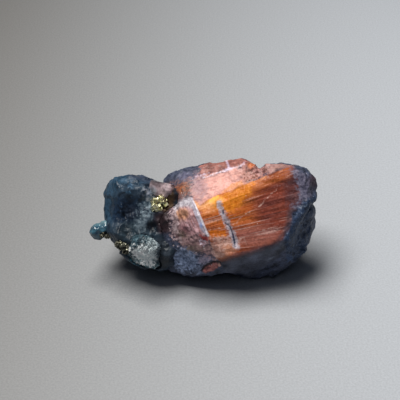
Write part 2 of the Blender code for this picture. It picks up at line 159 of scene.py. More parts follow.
# Colour zones of the main stone, from the lowest layer of paint to the highest. With more than 65 of
# them the material is too large for Cycles, which then shows the stone black.
STONE_ZONES = (
    Zone("left_slate", "#2a2c3a", "#585c70", Area((
        (-4.9, 4.1), (-3.9, 5.0), (-2.7, 5.8), (-0.3, 6.8), (-0.4, 5.2), (-1.7, 4.3), (-3.2, 3.6),
        (-4.4, 3.3),
    )), 0.5, 0.8, "cloud"),
    Zone("slate_frost", "#4a4860", "#76748c",
         Blob((-2.0, 5.2, 3.0), (0.9, 0.6, 3)), 0.4, 0.8, "cloud", 0.8),
    Zone("blue_patch", "#50607c", "#9aaacc", Area((
        (-3.9, -4.2), (-2.8, -3.4), (-1.7, -3.4), (-0.7, -4.1), (-0.4, -5.1), (-0.6, -6.2), (-3.0, -6.2),
    )), 0.6, 0.9, "grains"),
    Zone("lower_mauve", "#646078", "#b4a8c0", Area((
        (-0.6, -4.1), (0.35, -4.0), (0.95, -4.6), (0.1, -5.4), (-0.6, -5.1),
    )), 0.3, 0.4, "grains"),
    DARK_RED,
    # painted shade: the crevice to the right of the pink block, brown and dark
    Zone("gap", "#1e160e", "#644c36", Blob((-4.5, 3.0, 2.5), (0.5, 1.5, 4)), 0.3, 0.3, "cloud"),
    Zone("rim", "#0d1524", "#4e6388", Area((
        (13.2, 2.7), (11.7, 2.1), (10.7, 1.4), (10.35, 0.8), (10.35, -0.5), (9.65, -1.5), (9.3, -2.3),
        (9.9, -3.6), (10.2, -5.1), (15.0, -5.1), (15.0, 2.7),
    )), 0.2, 0.5, "cloud"),
    Zone("rim_pits", "#0a0e18", "#18202e",
         Blob((11.6, -0.6, 3.5), (2.4, 4.0, 5)), 0.15, 1.0, "cloud", 0.8, "rim", -0.1),
    # painted highlights: light bluish grains on the rough rim, where they catch the light
    Zone("rim_painted_highlights", "#445268", "#6c7a90",
         Blob((11.6, -0.6, 3.5), (2.4, 4.4, 5)), 0.12, 1.0, "sugar", 0.6, "rim", -0.26),
    Zone("facet", "#282b35", "#62677a", Area((
        *FACET_TOP, (9.9, -3.2), (9.1, -4.6), (6.9, -6.0), (5.5, -7.6), (3.1, -7.2),
    )), 0.25, 0.3, "smooth"),
    Zone("red_strip", "#663b36", "#b0746a", Area((
        (-0.4, 6.7), (0.7, 7.2), (2.6, 7.6), (4.4, 7.6), (5.8, 7.0), (6.5, 6.4), (5.5, 6.0), (4.7, 6.45),
        (2.5, 5.85), (0.35, 5.15), (-0.5, 5.0),
    )), 0.35, 0.8, "cloud"),
    Zone("mottled", "#584240", "#866462", Area((
        (-4.7, 3.9), (-3.6, 4.3), (-2.4, 4.6), (-1.4, 4.9), (-1.2, 3.0), (-2.2, 2.3), (-3.6, 1.9),
        (-4.7, 2.2),
    )), 0.5, 0.7, "grains"),
    Zone("brown_spot", "#562c18", "#985a3a",
         Blob((-2.4, 3.7, 3.6), (0.9, 0.55, 4)), 0.3, 0.5, "grains", 0.9),
    Zone("pale", "#a87874", "#dca498", Area((
        (-0.6, 5.0), (0.35, 5.2), (2.5, 5.8), (4.8, 6.5), (5.5, 5.9), (4.5, 5.2), (5.0, 4.4), *RIDGE[2::-1],
        (-1.3, 2.5), (-1.7, 3.5),
    )), 0.35, 0.5, "silk"),
    # painted light: a pool of torch light on the pale face, brightest in its middle
    Zone("hot", "#d0948a", "#ecb2a6",
         Blob((1.9, 3.9, 4.5), (2.0, 1.4, 6)), 0.8, 0.5, "silk", 1.0, "pale"),
    Zone("mauve_side", "#78606a", "#b08c92",
         Blob((-0.6, 4.0, 4.0), (0.9, 1.4, 5)), 0.6, 0.7, "grains", 0.8),
    Zone("orange_spot", "#62230a", "#e38555", Blob((5.7, 6.45, 3.7), (0.55, 0.4, 3)), 0.15, 0.2, "cloud"),
    Zone("brown_step", "#c57b47", "#e39861",
         Area(((2.1, 3.2), (3.3, 4.3), (4.6, 4.6), (4.6, 4.0))), 0.15, 0.2, "cloud", 0.8),
    Zone("pitted", "#84503e", "#c89288", Area((
        (4.3, 5.6), (5.5, 6.1), (6.5, 6.2), (7.7, 6.5), (8.5, 6.2), (7.7, 5.6), (6.5, 4.95), (4.8, 4.2),
    )), 0.3, 0.5, "grains", 0.9),
    Zone("pit", "#634141", "#c9938c", Blob((6.75, 5.85, 4.2), (0.9, 0.42, 3)), 0.25, 0.4, "grains"),
    Zone("top_right", "#926c61", "#b78d89", Area((
        (7.4, 6.5), (8.2, 7.0), (9.7, 7.0), (11.0, 6.6), (9.1, 5.85), (7.9, 5.5),
    )), 0.4, 0.8, "cloud"),
    Zone("granular", "#6a5054", "#b08e90", Area((
        (-3.9, 1.4), (-1.55, 1.8), (-0.7, 0.4), (0.0, -1.2), (0.5, -2.2), (1.1, -3.6), (1.4, -4.6),
        (0.1, -4.2), (-1.45, -3.6), (-2.6, -3.3), (-3.9, -2.0),
    )), 0.3, 0.6, "grains"),
    Zone("granular_light", "#c8b0b0", "#f4e8ea",
         Blob((-1.8, -1.4, 5.0), (2.8, 2.9, 4)), 0.05, 0.8, "specks", 0.7, "", -0.08),
    Zone("olive_grains", "#4c4036", "#84725e",
         Blob((-2.8, -1.6, 4.7), (0.7, 0.5, 3)), 0.3, 0.5, "grains", 0.8),
    Zone("wine_grains", "#663640", "#a46c78",
         Blob((-1.5, -1.0, 5.0), (1.3, 0.6, 3)), 0.35, 0.5, "grains", 0.7),
    Zone("dark_pocket", "#2a2624", "#585048",
         Blob((-1.3, -3.3, 5.0), (1.1, 0.4, 3)), 0.25, 0.5, "grains", 0.85),
    Zone("pink_grains", "#654e51", "#b9a5aa", Area((
        (-4.1, 0.7), (-3.4, 1.3), (-2.9, 0.7), (-3.1, -1.0), (-2.9, -2.8), (-3.6, -2.5), (-4.0, -0.8),
    )), 0.35, 0.6, "grains", 0.85),
    Zone("grey_crystals", "#91666b", "#c6b9c9",
         Blob((-0.2, -2.65, 5.4), (0.4, 0.5, 3)), 0.1, 0.25, "grains"),
    Zone("wedge_streaks", "#8c5450", "#dcb4bc", Area((
        (-2.9, 1.6), (-1.3, 1.5), (-0.6, 0.1), (-0.1, -1.5), (-0.6, -2.0), (-1.7, -1.2), (-2.8, 0.1),
    )), 0.35, 0.3, "blades", 0.9),
    Zone("wedge_orange", "#965c40", "#cc9470",
         Blob((-2.5, 0.65, 4.7), (0.75, 0.65, 3)), 0.35, 0.4, "blades", 0.85),
    Zone("fibrous", "#7e3823", "#b0623c", Area((
        (-1.35, 2.4), *RIDGE, (11.05, 5.7), (11.25, 4.0), (11.5, 2.9), (11.4, 2.0), (10.6, 1.6),
        (10.2, 0.8), (10.1, -0.3), (9.5, -1.3), *FACET_TOP[::-1], (1.4, -4.3), (0.95, -3.3), (0.45, -1.95),
        (-0.4, 0.2),
    )), 0.1, 0.2, "fibres"),
    Zone("fibrous_orange", "#a84c18", "#cc7434",
         Blob((3.2, 1.2, 5.4), (4.2, 2.6, 8)), 1.4, 0.3, "fibres", 1.0, "fibrous"),
    Zone("fibrous_red", "#6c342c", "#964834",
         Blob((9.8, 1.6, 5.0), (3.9, 4.4, 8)), 1.2, 0.4, "fibres", 1.0, "fibrous"),
    Zone("face_end", "#452e34", "#694648",
         Blob((10.9, 3.6, 4.5), (1.3, 3.0, 4)), 0.6, 0.5, "grains", 0.85, "fibrous"),
    Zone("lower_red", "#8e5048", "#b47468",
         Blob((5.8, -2.0, 5.4), (3.0, 1.2, 8)), 0.6, 0.4, "fibres", 0.8, "fibrous"),
    Zone("dark_fibres", "#4a1c18", "#702e22",
         Blob((7.4, 0.8, 5.2), (5.6, 4.6, 8)), 0.08, 1.0, "fibres", 0.35, "fibrous", -0.14),
    Zone("light_fibres", "#a07870", "#d8b4ac", Blob((5.6, -0.6, 5.2), (5.4, 3.4, 8)),
         0.1, 1.0, "threads", 0.42, "fibrous", -0.26),
    Zone("band_right", "#9a4a24", "#bc6a34", Area((
        *RIDGE[3:], (10.4, 5.2), (8.8, 4.3), (7.2, 3.5), (5.6, 2.9), (4.6, 2.4),
    )), 0.5, 0.3, "fibres", 0.9, "fibrous"),
    Zone("band", "#cc6a10", "#ea8e28", Area((
        *RIDGE[:5], (6.6, 4.5), (5.7, 3.6), (4.9, 2.5), (4.2, 1.6), (3.4, 0.9), (2.4, 1.2), (1.2, 1.4),
        (0.0, 0.9),
    )), 0.45, 0.3, "silk", 1.0, "fibrous"),
    Zone("band_left", "#d08038", "#f6b880",
         Blob((0.3, 1.9, 5.4), (1.3, 0.9, 6)), 0.5, 0.2, "fibres", 0.8, "fibrous"),
    # painted highlight: a bright yellow spot where the light catches the left end of the band
    Zone("amber", "#e88c18", "#ffc040",
         Blob((1.2, 2.4, 5.4), (0.9, 0.55, 4)), 0.3, 0.3, "sugar", 0.8, "fibrous"),
    Zone("orange_block", "#a8480a", "#d87c24", Area((
        (0.6, -1.3), (2.5, -1.2), (2.6, -1.95), (0.7, -2.05),
    )), 0.12, 0.15, "fibres", 1.0, "fibrous"),
    Zone("peach", "#a8603c", "#d09c84", Area((
        (1.6, -2.4), (3.5, -2.4), (3.9, -3.6), (2.6, -4.5), (1.7, -4.2),
    )), 0.4, 0.4, "cloud", 0.8, "fibrous"),
    Zone("rose_grains", "#9a6e64", "#d4aea4", Area((
        (0.8, -1.95), (2.1, -2.1), (3.4, -2.15), (4.3, -2.3), (4.3, -2.7), (3.5, -3.0), (2.4, -3.0),
        (2.5, -4.0), (2.3, -4.5), (1.5, -4.5), (1.2, -4.2), (0.8, -3.4),
    )), 0.3, 0.4, "grains", 0.75),
    Zone("fringe", "#382b33", "#6d5154", Lines((FACET_TOP, RIM_EDGE), 0.3), 0.3, 0.3, "cloud", 0.8),
    Zone("veil", "#403e54", "#7c788c", Area((
        (10.4, 6.0), (11.5, 5.7), (12.4, 5.2), (13.0, 4.3), (12.9, 2.8), (12.0, 2.4), (10.9, 1.5),
        (10.2, 1.4), (11.2, 2.2), (11.4, 3.2), (11.1, 4.0),
    )), 0.35, 0.6, "sugar", 0.9),
    Zone("right_red", "#3c2e3b", "#665966", Blob((13.2, 4.7, 3.5), (0.6, 0.8, 4)), 0.3, 0.3, "cloud"),
    Zone("wedge_patch", "#8c828c", "#ccc6ce", Area((
        (-3.6, 1.4), (-3.1, 2.1), (-2.5, 2.35), (-1.55, 2.6), (-1.2, 1.8), (-1.35, 1.4), (-1.9, 1.55),
        (-2.6, 1.6), (-3.3, 1.3), (-3.5, 0.8),
    )), 0.25, 0.3, "sugar", 0.9),
    Zone("wedge_side", "#7e7688", "#beb6c4", Area((
        (-1.53, 2.46), (-0.94, 1.39), (-0.46, 0.43), (0.02, -0.68), (0.43, -1.88), (-0.13, -1.57),
        (-0.53, -1.0), (-0.85, -0.2), (-1.18, 0.59), (-1.41, 1.31),
    )), 0.1, 0.12, "blades", 0.9),
    Zone("wedge_blue", "#6c7cae", "#a0aed0",
         Blob((-0.34, -0.6, 5.0), (0.2, 0.4, 3)), 0.1, 0.1, "blades", 0.9),
    Zone("wedge_edge", "#b6aebe", "#e8e2ea", Lines((WEDGE_EDGE,), 0.1), 0.1, 0.06, "blades", 0.95),
    Zone("red_patch", "#8a3030", "#b04844",
         Area(((-0.6, -1.7), (0.35, -2.05), (0.45, -2.5), (-0.15, -2.4))), 0.12, 0.2, "cloud"),
    Zone("vein", "#948c98", "#beb6c0", Lines((VEIN_RUN,), 0.33), 0.2, 0.35, "sugar", 0.9),
    Zone("crack", "#1c2236", "#39425c",
         Lines((CRACK_RUN, ((2.22, 1.05), (2.28, 0.65))), 0.07), 0.06, 0.08, "cloud"),
    Zone("star_vein", "#d2b4c4", "#f8e6f0", Lines((
        ((-0.1, 5.0), (1.24, 5.45), (2.45, 5.83), (3.91, 6.3), (4.87, 6.61)),
    ), 0.05), 0.11, 0.16, "sugar", 0.8),
    # white veins that cross, and a painted glint with a soft halo where they meet
    Zone("star", "#c8bce0", "#f8f0ff", Lines((
        ((2.75, 7.15), (2.95, 6.5), (3.05, 6.0)),
        ((2.6, 5.9), (3.3, 6.15)),
    ), 0.08), 0.2, 0.15, "cloud", 0.85),
    Zone("faint_vein", "#a58a9c", "#cdb4c4", Lines((
        ((-1.0, 5.15), (0.6, 5.6)),
        ((4.6, 6.5), (4.95, 7.0)),
    ), 0.08), 0.08, 0.2, "grains", 0.7),
    Zone("white_cracks", "#c08c80", "#e8c8bc", Lines((
        ((0.34, -1.28), (1.41, -1.04), (2.56, -0.9)),
        ((0.61, -2.21), (1.65, -2.17), (2.72, -2.17)),
        ((3.16, -0.63), (3.84, -0.39), (4.1, 0.04), (4.5, 0.37), (5.1, 0.8), (6.17, 1.27)),
        ((6.4, 1.45), (6.85, 1.8), (7.14, 2.29), (7.7, 2.7), (7.91, 3.06), (8.5, 3.4), (8.77, 3.92)),
        ((6.9, -1.29), (8.09, -0.99), (9.17, -0.76)),
        ((4.1, -3.13), (4.27, -2.36), (4.75, -2.04), (5.08, -3.13)),
    ), 0.04), 0.08, 0.16, "sugar", 0.5),
    Zone("lens", "#6e3c3e", "#c47c76", Area((
        (1.94, -5.21), (1.47, -5.04), (0.64, -5.27), (-0.07, -5.76), (-0.24, -6.23), (0.23, -6.4),
        (1.06, -6.17), (1.77, -5.68),
    )), 0.08, 0.08, "grains"),
    # painted highlight on the right end of the lens
    Zone("painted_lens_highlight", "#e0a898", "#ffd0c0",
         Lines((((1.75, -5.15), (1.95, -5.5)),), 0.1), 0.08, 0.05, "cloud", 0.9),
    Zone("lens_shadow", "#241a1e", "#34242a", Lines((LENS_ARC,), 0.11), 0.06, 0.05, "cloud", 0.95),
    # painted sheen: a lighter grey-blue streak across the smooth lower facet
    Zone("scratch", "#6c7484", "#8a92a2",
         Lines((((7.6, -4.9), (8.5, -4.4)),), 0.04), 0.05, 0.08, "cloud", 0.8),
    # painted highlights: white glints where tiny crystal faces catch the light
    Zone("glints", "#e8eef4", "#ffffff",
         Blob((2.0, 0.0, 0.0), (20, 12, 12)), 0.04, 1.0, "specks", 0.9, "", -0.36),
    Zone("back_orange", "#6a3a2e", "#9a6448",
         Blob((4.0, 0.4, -6.5), (3.6, 2.8, 3.4)), 0.5, 2.8, "cloud", 0.75),
    Zone("back_pale", "#a0705f", "#d8ab9c",
         Blob((0.6, 4.0, -4.6), (2.2, 1.4, 2.4)), 0.5, 2.2, "grains", 0.65),
)

# colour zones of the deep blue crystal
CRYSTAL_ZONES = (
    Zone("teal_rim", "#152838", "#3a566e", Lines((
        ((-12.0, 0.5), (-11.8, 3.5), (-10.7, 5.0), (-9.2, 5.5), (-7.7, 5.3)),
    ), 1.0), 0.6, 0.5, "cloud"),
    Zone("violet_top", "#181e2c", "#424c60", Lines((((-8.8, 5.5), (-5.3, 4.6)),), 0.5), 0.5, 0.3, "cloud"),
    # the hollow's deep blue, painted darker still with the shade that falls in it
    Zone("hollow", "#0a1526", "#22344a", Blob((-9.4, 0.9, 3.2), (2.0, 1.9, 4)), 0.7, 0.6, "grains"),
    Zone("violet_hollow", "#111825", "#2f3644",
         Blob((-8.9, 0.8, 3.2), (0.9, 0.8, 3)), 0.5, 0.5, "grains", 0.7),
    Zone("low_dark", "#10181e", "#344450", Blob((-8.6, -1.5, 3.2), (2.2, 1.2, 3)), 0.5, 0.5, "cloud"),
    Zone("white_mist", "#2d3744", "#758691", Area((
        (-7.8, 1.7), (-6.4, 2.0), (-6.2, 0.5), (-7.2, -0.4), (-7.9, 0.6),
    )), 0.4, 0.7, "grains", 0.8),
    Zone("low_mist", "#32404c", "#77858f", Area((
        (-8.2, 0.5), (-7.2, 0.8), (-6.6, 0.2), (-6.7, -1.0), (-7.6, -1.4), (-8.3, -0.8),
    )), 0.4, 0.6, "grains", 0.7),
    Zone("nub_mist", "#54697f", "#9fa1ac",
         Area(((-7.1, 3.6), (-6.1, 3.5), (-6.2, 2.4), (-7.0, 2.5))), 0.4, 0.5, "grains", 0.8),
    # painted light: top facets of the crystal, lighter where they face the light above
    Zone("painted_lit_facets", "#1a3146", "#476782", Lines((
        ((-9.0, 4.1), (-8.7, 3.8)),
        ((-9.2, 3.3), (-8.9, 3.1)),
    ), 0.25), 0.12, 0.3, "grains", 0.8),
    DARK_RED,
    # painted shade: a small hole in the crystal, painted near black
    Zone("hole", "#080a10", "#141a24", Blob((-6.2, -0.9, 3.4), (0.7, 0.7, 3)), 0.3, 0.3, "cloud"),
    Zone("crust_halo", "#0c141c", "#32424e",
         Blob((-7.1, -4.0, 3.6), (2.4, 2.8, 3)), 0.7, 0.9, "grains", 0.75),
    Zone("low_shade", "#12181e", "#363e48", Blob((-4.9, -4.0, 4.0), (1.2, 2.0, 4)), 0.4, 0.5, "cloud", 0.9),
    # painted shade: the crevice to the right of the pink block, brown and dark
    Zone("gap", "#1e160e", "#644c36", Blob((-4.4, 2.6, 2.5), (0.9, 2.0, 4)), 0.3, 0.3, "cloud"),
    # painted highlights: white glints where tiny crystal faces catch the light
    Zone("glints", "#e8eef4", "#ffffff",
         Blob((-9.0, 0.0, 0.0), (12, 12, 12)), 0.04, 1.0, "specks", 0.8, "", -0.38),
    Zone("teal_foot", "#1f4c60", "#4f9ab0", Blob((-8.2, -4.9, 2.8), (1.0, 0.9, 2)), 0.3, 0.4, "grains"),
)

# colour zones of the calcite crust and of its grains
CRUST_ZONES = (
    Zone("crust_teal", "#46646e", "#9ec2ca", Blob((-7.4, -5.5, 3.6), (1.7, 1.0, 3)), 0.3, 0.5, "grains"),
    Zone("sugar_white", "#d4e0e2", "#ffffff", Area((
        (-8.9, -3.8), (-8.2, -3.2), (-7.2, -2.9), (-5.8, -2.5), (-5.4, -3.2), (-5.3, -4.6), (-5.9, -5.5),
        (-7.4, -5.8), (-8.4, -4.8),
    )), 0.35, 1.0, "needles"),
    Zone("crust_top", "#44565e", "#9cacb2",
         Blob((-5.8, -2.8, 4.0), (1.4, 1.0, 3)), 0.4, 0.8, "needles", 0.85),
    Zone("crust_dark", "#262e34", "#6f7d89", Blob((-4.9, -3.9, 4.0), (0.8, 1.7, 3)), 0.3, 0.6, "grains"),
    # painted highlights: white glints where tiny crystal faces catch the light
    Zone("glints", "#e8eef4", "#ffffff",
         Blob((-7.0, -4.0, 3.0), (6, 6, 6)), 0.04, 1.0, "specks", 0.9, "", -0.3),
)

# colour zones of the pink block
BLOCK_ZONES = (
    Zone("block_haze", "#42434f", "#999aa3", Blob((-6.6, 3.2, 3.2), (0.9, 0.9, 3)), 0.4, 0.4, "cloud"),
    Zone("block_ridge", "#2a2628", "#68646a",
         Lines((((-7.0, 4.9), (-5.2, 4.75)),), 0.45), 0.3, 0.5, "cloud"),
)


def srgb(code):
    """Linear colour of an sRGB hex value."""
    parts = [int(code[i:i + 2], 16) / 255 for i in (1, 3, 5)]
    return tuple(c / 12.92 if c <= 0.04045 else ((c + 0.055) / 1.055) ** 2.4 for c in parts)


TONES = {  # dark and light colour of each ground, and of each zone
    "slate": ("#1a1f2c", "#586078"),
    "crust": ("#1c2a34", "#4c6874"),
    "block": ("#5c5055", "#ceb4b9"),
    "knob": ("#22364a", "#4a7484"),
    "knob_neck": ("#6c8890", "#6c8890"),
    "pyrite": ("#c0bc86", "#fbf8de"),
    "pyrite_shade": ("#3a3a34", "#a4a290"),
    "blue": ("#121c28", "#384a5c"),
} | {
    zone.name: (zone.dark, zone.light)
    for zone in (*STONE_ZONES, *CRYSTAL_ZONES, *CRUST_ZONES, *BLOCK_ZONES)
}


def colour_property(name, description, code):
    """Property for a colour, given as an sRGB hex value."""
    return FloatVectorProperty(
        name=name, description=description, subtype="COLOR", size=3, min=0, max=1, default=srgb(code),
    )


class ZoneColours(bpy.types.PropertyGroup):
    """Two colours for each painted zone of the stones."""

    __annotations__ = {
        f"{zone}_{which}": colour_property(
            f"{zone}, {which}".replace("_", " ").capitalize(), f"The {which} colour of this zone", code,
        )
        for zone, codes in TONES.items() for which, code in zip(("dark", "light"), codes)
    }


def length(name, description, default, least=0):
    """Property for a length, given in millimetres."""
    return FloatProperty(
        name=name, description=description, default=default * MM, min=least * MM,
        unit="LENGTH", precision=6,
    )


class SurfaceSettings(bpy.types.PropertyGroup):
    """Sizes of the broken surfaces, the grains and the crystals."""

    stone_detail: length("Stone detail", "Mesh width of the main stone's surface", 0.115, 0.05)
    crystal_detail: length("Crystal detail", "Mesh width of the smaller minerals' surfaces", 0.09, 0.04)
    fibre_step: length("Fibre step", "Height of the steps between the fibres of the large face", 0.05)
    break_height: length("Break height", "Height of the facets on the rough broken faces", 0.20)
    sugar_grain: length("Sugar grain", "Size of the largest calcite grains on the crust", 0.20, 0.05)
    crust_grains: IntProperty(
        name="Crust grains", description="Number of calcite grains on the crust", default=1500, min=10,
    )
    cube_size: length("Pyrite cube", "Width of the largest pyrite cubes", 0.62, 0.1)


class StageSettings(bpy.types.PropertyGroup):
    """Floor, lights and camera."""

    floor_right: colour_property("Floor, right", "Colour of the floor to the right", "#cbd0d8")
    # painted shade: the floor's colour to the left is darker
    floor_shaded_left: colour_property("Floor, left", "Colour of the floor to the left", "#6c6965")
    key_power: FloatProperty(
        name="Key light", description="Power of the soft light over the specimen, in watts",
        default=0.53, min=0,
    )
    camera_distance: length("Camera distance", "From the camera to the display plane", 150, 50)


# ---------- meshes


def only(piece):
    """Makes the piece the one selected and active object."""
    bpy.ops.object.select_all(action="DESELECT")
    piece.select_set(True)
    bpy.context.view_layer.objects.active = piece


def fine_copy(node, name, detail):
    """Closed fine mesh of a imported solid, in display millimetres."""
    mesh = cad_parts[node].data.copy()
    mesh.materials.clear()
    mesh.name = name
    piece = bpy.data.objects.new(name, mesh)
    bpy.context.collection.objects.link(piece)
    only(piece)
    bpy.ops.object.mode_set(mode="EDIT")
    bpy.ops.mesh.select_all(action="SELECT")
    bpy.ops.mesh.remove_doubles(threshold=MERGE)
    bpy.ops.object.mode_set(mode="OBJECT")
    mesh.transform(TO_DISPLAY)
    remesh = piece.modifiers.new("remesh", "REMESH")
    remesh.mode = "VOXEL"
    remesh.voxel_size = detail / MM
    bpy.ops.object.modifier_apply(modifier=remesh.name)
    return piece


def numbers(items, name):
    flat = np.empty(len(items) * 3, np.float32)
    items.foreach_get(name, flat)
    return flat.reshape(-1, 3).astype(float)


def places(piece):
    return numbers(piece.data.vertices, "co")


def directions(piece):
    return numbers(piece.data.vertex_normals, "vector")


def move_to(piece, points):
    piece.data.vertices.foreach_set("co", points.astype(np.float32).ravel())
    piece.data.update()


def raise_surface(piece, heights):
    """Moves each point along its normal, by millimetres."""
    move_to(piece, places(piece) + directions(piece) * heights[:, None])


def store(piece, fields):
    """Keeps numbers or vectors for each point, by name, for the finish to read."""
    for name, values in fields.items():
        kind, part = ("FLOAT_VECTOR", "vector") if values.ndim > 1 else ("FLOAT", "value")
        attribute = piece.data.attributes.new(name, kind, "POINT")
        attribute.data.foreach_set(part, values.astype(np.float32).ravel())


def lumps(points, size, shift=0.0):
    """Smooth noise between -1 and 1, with lumps of about that size."""
    return np.array([noise.noise(Vector(p)) for p in points / size + shift])


def facets(points, size, shift=0.0):
    """Broken surface: cells of about that size, each a flat facet with its own tilt and height."""
    heights = np.empty(len(points))
    for i, p in enumerate(points / size + shift):
        here = Vector(p)
        cell = noise.voronoi(here)[1][0]
        seed = cell * 3.7
        tilt = Vector((noise.noise(seed), noise.noise(seed.yzx), noise.noise(seed.zxy)))
        heights[i] = noise.noise(cell * 5.3) + tilt.dot(here - cell)
    return heights


def domes(points, size, shift=0.0):
    """Close-packed rounded grains: 1 at the middle of a grain, near 0 in the gaps."""
    return np.array([1 - min(1.0, noise.voronoi(Vector(p))[0][0]) for p in points / size + shift])


def line_distance(points, run):
    """Distance from each point to an open line on the display plane."""
    flat = points[:, :2]
    nearest = np.full(len(flat), np.inf)
    for start, end in zip(np.array(run), np.array(run)[1:]):
        span = end - start
        along = np.clip((flat - start) @ span / (span @ span), 0, 1)
        nearest = np.minimum(nearest, np.linalg.norm(flat - start - along[:, None] * span, axis=1))
    return nearest


def is_inside(points, outline):
    within = np.zeros(len(points), bool)
    ring = np.array(outline)
    for (x0, y0), (x1, y1) in zip(ring, np.roll(ring, -1, axis=0)):
        if y0 == y1:
            continue
        crosses = (y0 > points[:, 1]) != (y1 > points[:, 1])
        within ^= crosses & (points[:, 0] < x0 + (points[:, 1] - y0) * (x1 - x0) / (y1 - y0))
    return within


def zone_field(points, shape):
    """Millimetres that each point lies inside a zone, negative outside it."""
    if isinstance(shape, Blob):
        offset = (points - np.array(shape.place)) / np.array(shape.radii)
        return (1 - np.linalg.norm(offset, axis=1)) * min(shape.radii)
    if isinstance(shape, Lines):
        field = shape.half_width - np.min([line_distance(points, run) for run in shape.runs], axis=0)
    else:
        edge = line_distance(points, (*shape.outline, shape.outline[0]))
        field = np.where(is_inside(points, shape.outline), edge, -edge)
    behind = np.maximum(0, FRONT - points[:, 2])
    return field - behind - FADE * behind ** 2


def zone_fields(points, zones):
    fields = {}
    for zone in zones:
        fields[zone.name] = np.minimum(zone_field(points, zone.shape), zone.fill)
        if zone.within:
            fields[zone.name] = np.minimum(fields[zone.name], HOLD * fields[zone.within])
    return fields


def share(field, soft):
    """0 outside a zone, 1 inside it, with a soft edge of that half width."""
    t = np.clip(field / (2 * soft) + 0.5, 0, 1)
    return t * t * (3 - 2 * t)


def fan_run(points, apex, reach):
    """Coordinates along and across a fan that opens from a point, and into the stone."""
    x, y = points[:, 0] - apex[0], points[:, 1] - apex[1]
    return np.stack([np.hypot(x, y), np.arctan2(y, x) * reach, points[:, 2]], axis=1)


def blade_run(points):
    """Coordinates along and across the blades beside the wedge vein."""
    cos, sin = math.cos(BLADE_TILT), math.sin(BLADE_TILT)
    x, y = points[:, 0], points[:, 1]
    return np.stack([x * cos + y * sin, y * cos - x * sin, points[:, 2]], axis=1)


def settle(piece, finish, body="root"):
    """Carries a worked piece into the frame, lays its underside on the floor, smooths and paints it."""
    piece.data.transform(TO_WORLD)
    points = places(piece)
    points[:, 2] = np.maximum(points[:, 2], 0)
    move_to(piece, points)
    only(piece)
    bpy.ops.object.shade_smooth()
    piece.data.materials.append(finish)
    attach(piece, body)


# ---------- finishes


def feed(tree, node, inputs):
    """Gives a node its values and its links, by input name or number."""
    for name, value in inputs.items():
        if isinstance(value, bpy.types.NodeSocket):
            tree.links.new(value, node.inputs[name])
        else:
            node.inputs[name].default_value = value


def add(tree, kind, settings=None, inputs=None, output=0):
    """Adds a shader node with its settings, values and links, and returns one of its outputs."""
    node = tree.nodes.new("ShaderNode" + kind)
    for name, value in (settings or {}).items():
        setattr(node, name, value)
    feed(tree, node, inputs or {})
    return node.outputs[output]


def new_finish(name, surface, middle=DISPLAY_MIDDLE, lean=DISPLAY_TILT):
    """Material with a Principled shader, and each point's place in millimetres from that middle."""
    made = bpy.data.materials.new(name)
    made.use_nodes = True
    tree = made.node_tree
    shader = tree.nodes["Principled BSDF"]
    feed(tree, shader, surface)
    coordinates = add(tree, "TexCoord", output="Object")
    place = add(tree, "Mapping", {"vector_type": "TEXTURE"}, {
        "Vector": coordinates, "Location": middle, "Rotation": (lean, 0, 0), "Scale": (MM, MM, MM),
    })
    return made, tree, shader, place


def spread_noise(tree, place, grain):
    """Noise pattern with its range spread over 0 to 1."""
    if grain.stretch:
        place = add(tree, "VectorMath", {"operation": "MULTIPLY"}, {0: place, 1: grain.stretch})
    made = add(tree, "TexNoise", None, {
        "Vector": place, "Scale": grain.per_mm, "Detail": grain.detail, "Roughness": 0.6,
    })
    return add(tree, "MapRange", None, {"Value": made, "From Min": grain.low, "From Max": grain.high})


def crossed(tree, one, two, weight):
    """Two patterns mixed, and spread over 0 to 1 again."""
    part = add(tree, "Math", {"operation": "MULTIPLY"}, {0: one, 1: 1 - weight})
    mixed = add(tree, "Math", WEIGHTED_SUM, {0: two, 1: weight, 2: part})
    return add(tree, "MapRange", None, {"Value": mixed, "From Min": 0.2, "From Max": 0.8})


def patterns_of(tree, place):
    """The patterns that the colours of all grained stones share, each a number from 0 to 1."""
    grains = add(tree, "TexVoronoi", None, {"Vector": place, "Scale": CRYSTAL_GRAINS}, output="Color")
    cells = add(tree, "SeparateColor", None, {0: grains})
    sugar = spread_noise(tree, place, SUGAR)
    spots = add(tree, "TexVoronoi", None, {"Vector": place, "Scale": SPECKS}, output="Color")
    size = add(tree, "SeparateColor", None, {0: spots})
    distance = spots.node.outputs["Distance"]
    return {
        "cloud": spread_noise(tree, place, CLOUD), "cells": cells, "sugar": sugar,
        "grains": crossed(tree, cells, sugar, 0.6),
        "specks": add(tree, "Math", WEIGHTED_SUM, {0: distance, 1: -1.5, 2: size}),
    }


def tone(name, which):
    return (*getattr(bpy.context.scene.afghanite_colours, f"{name}_{which}"), 1)


def two_tone(tree, pattern, name):
    """The dark and light colour of that name, mixed by a pattern."""
    return add(tree, "Mix", COLOURS, {0: pattern, 6: tone(name, "dark"), 7: tone(name, "light")}, output=2)


def painted(tree, ground, zones, patterns):
    """Colour of a stone: the ground, with each zone laid over it along its ragged edge."""
    colour = two_tone(tree, patterns["cloud"], ground)
    for zone in zones:
        field = add(tree, "Attribute", {"attribute_name": zone.name}, output="Fac")
        centred = add(tree, "Math", {"operation": "SUBTRACT"}, {0: patterns[zone.pattern], 1: 0.5})
        edge = add(tree, "Math", WEIGHTED_SUM, {0: centred, 1: zone.ragged, 2: field})
        cover = add(tree, "MapRange", SOFT_STEP, {
            "Value": edge, "From Min": -zone.soft, "From Max": zone.soft, "To Max": zone.strength,
        })
        own = two_tone(tree, patterns["grains" if zone.pattern == "specks" else zone.pattern], zone.name)
        colour = add(tree, "Mix", COLOURS, {0: cover, 6: colour, 7: own}, output=2)
    return colour


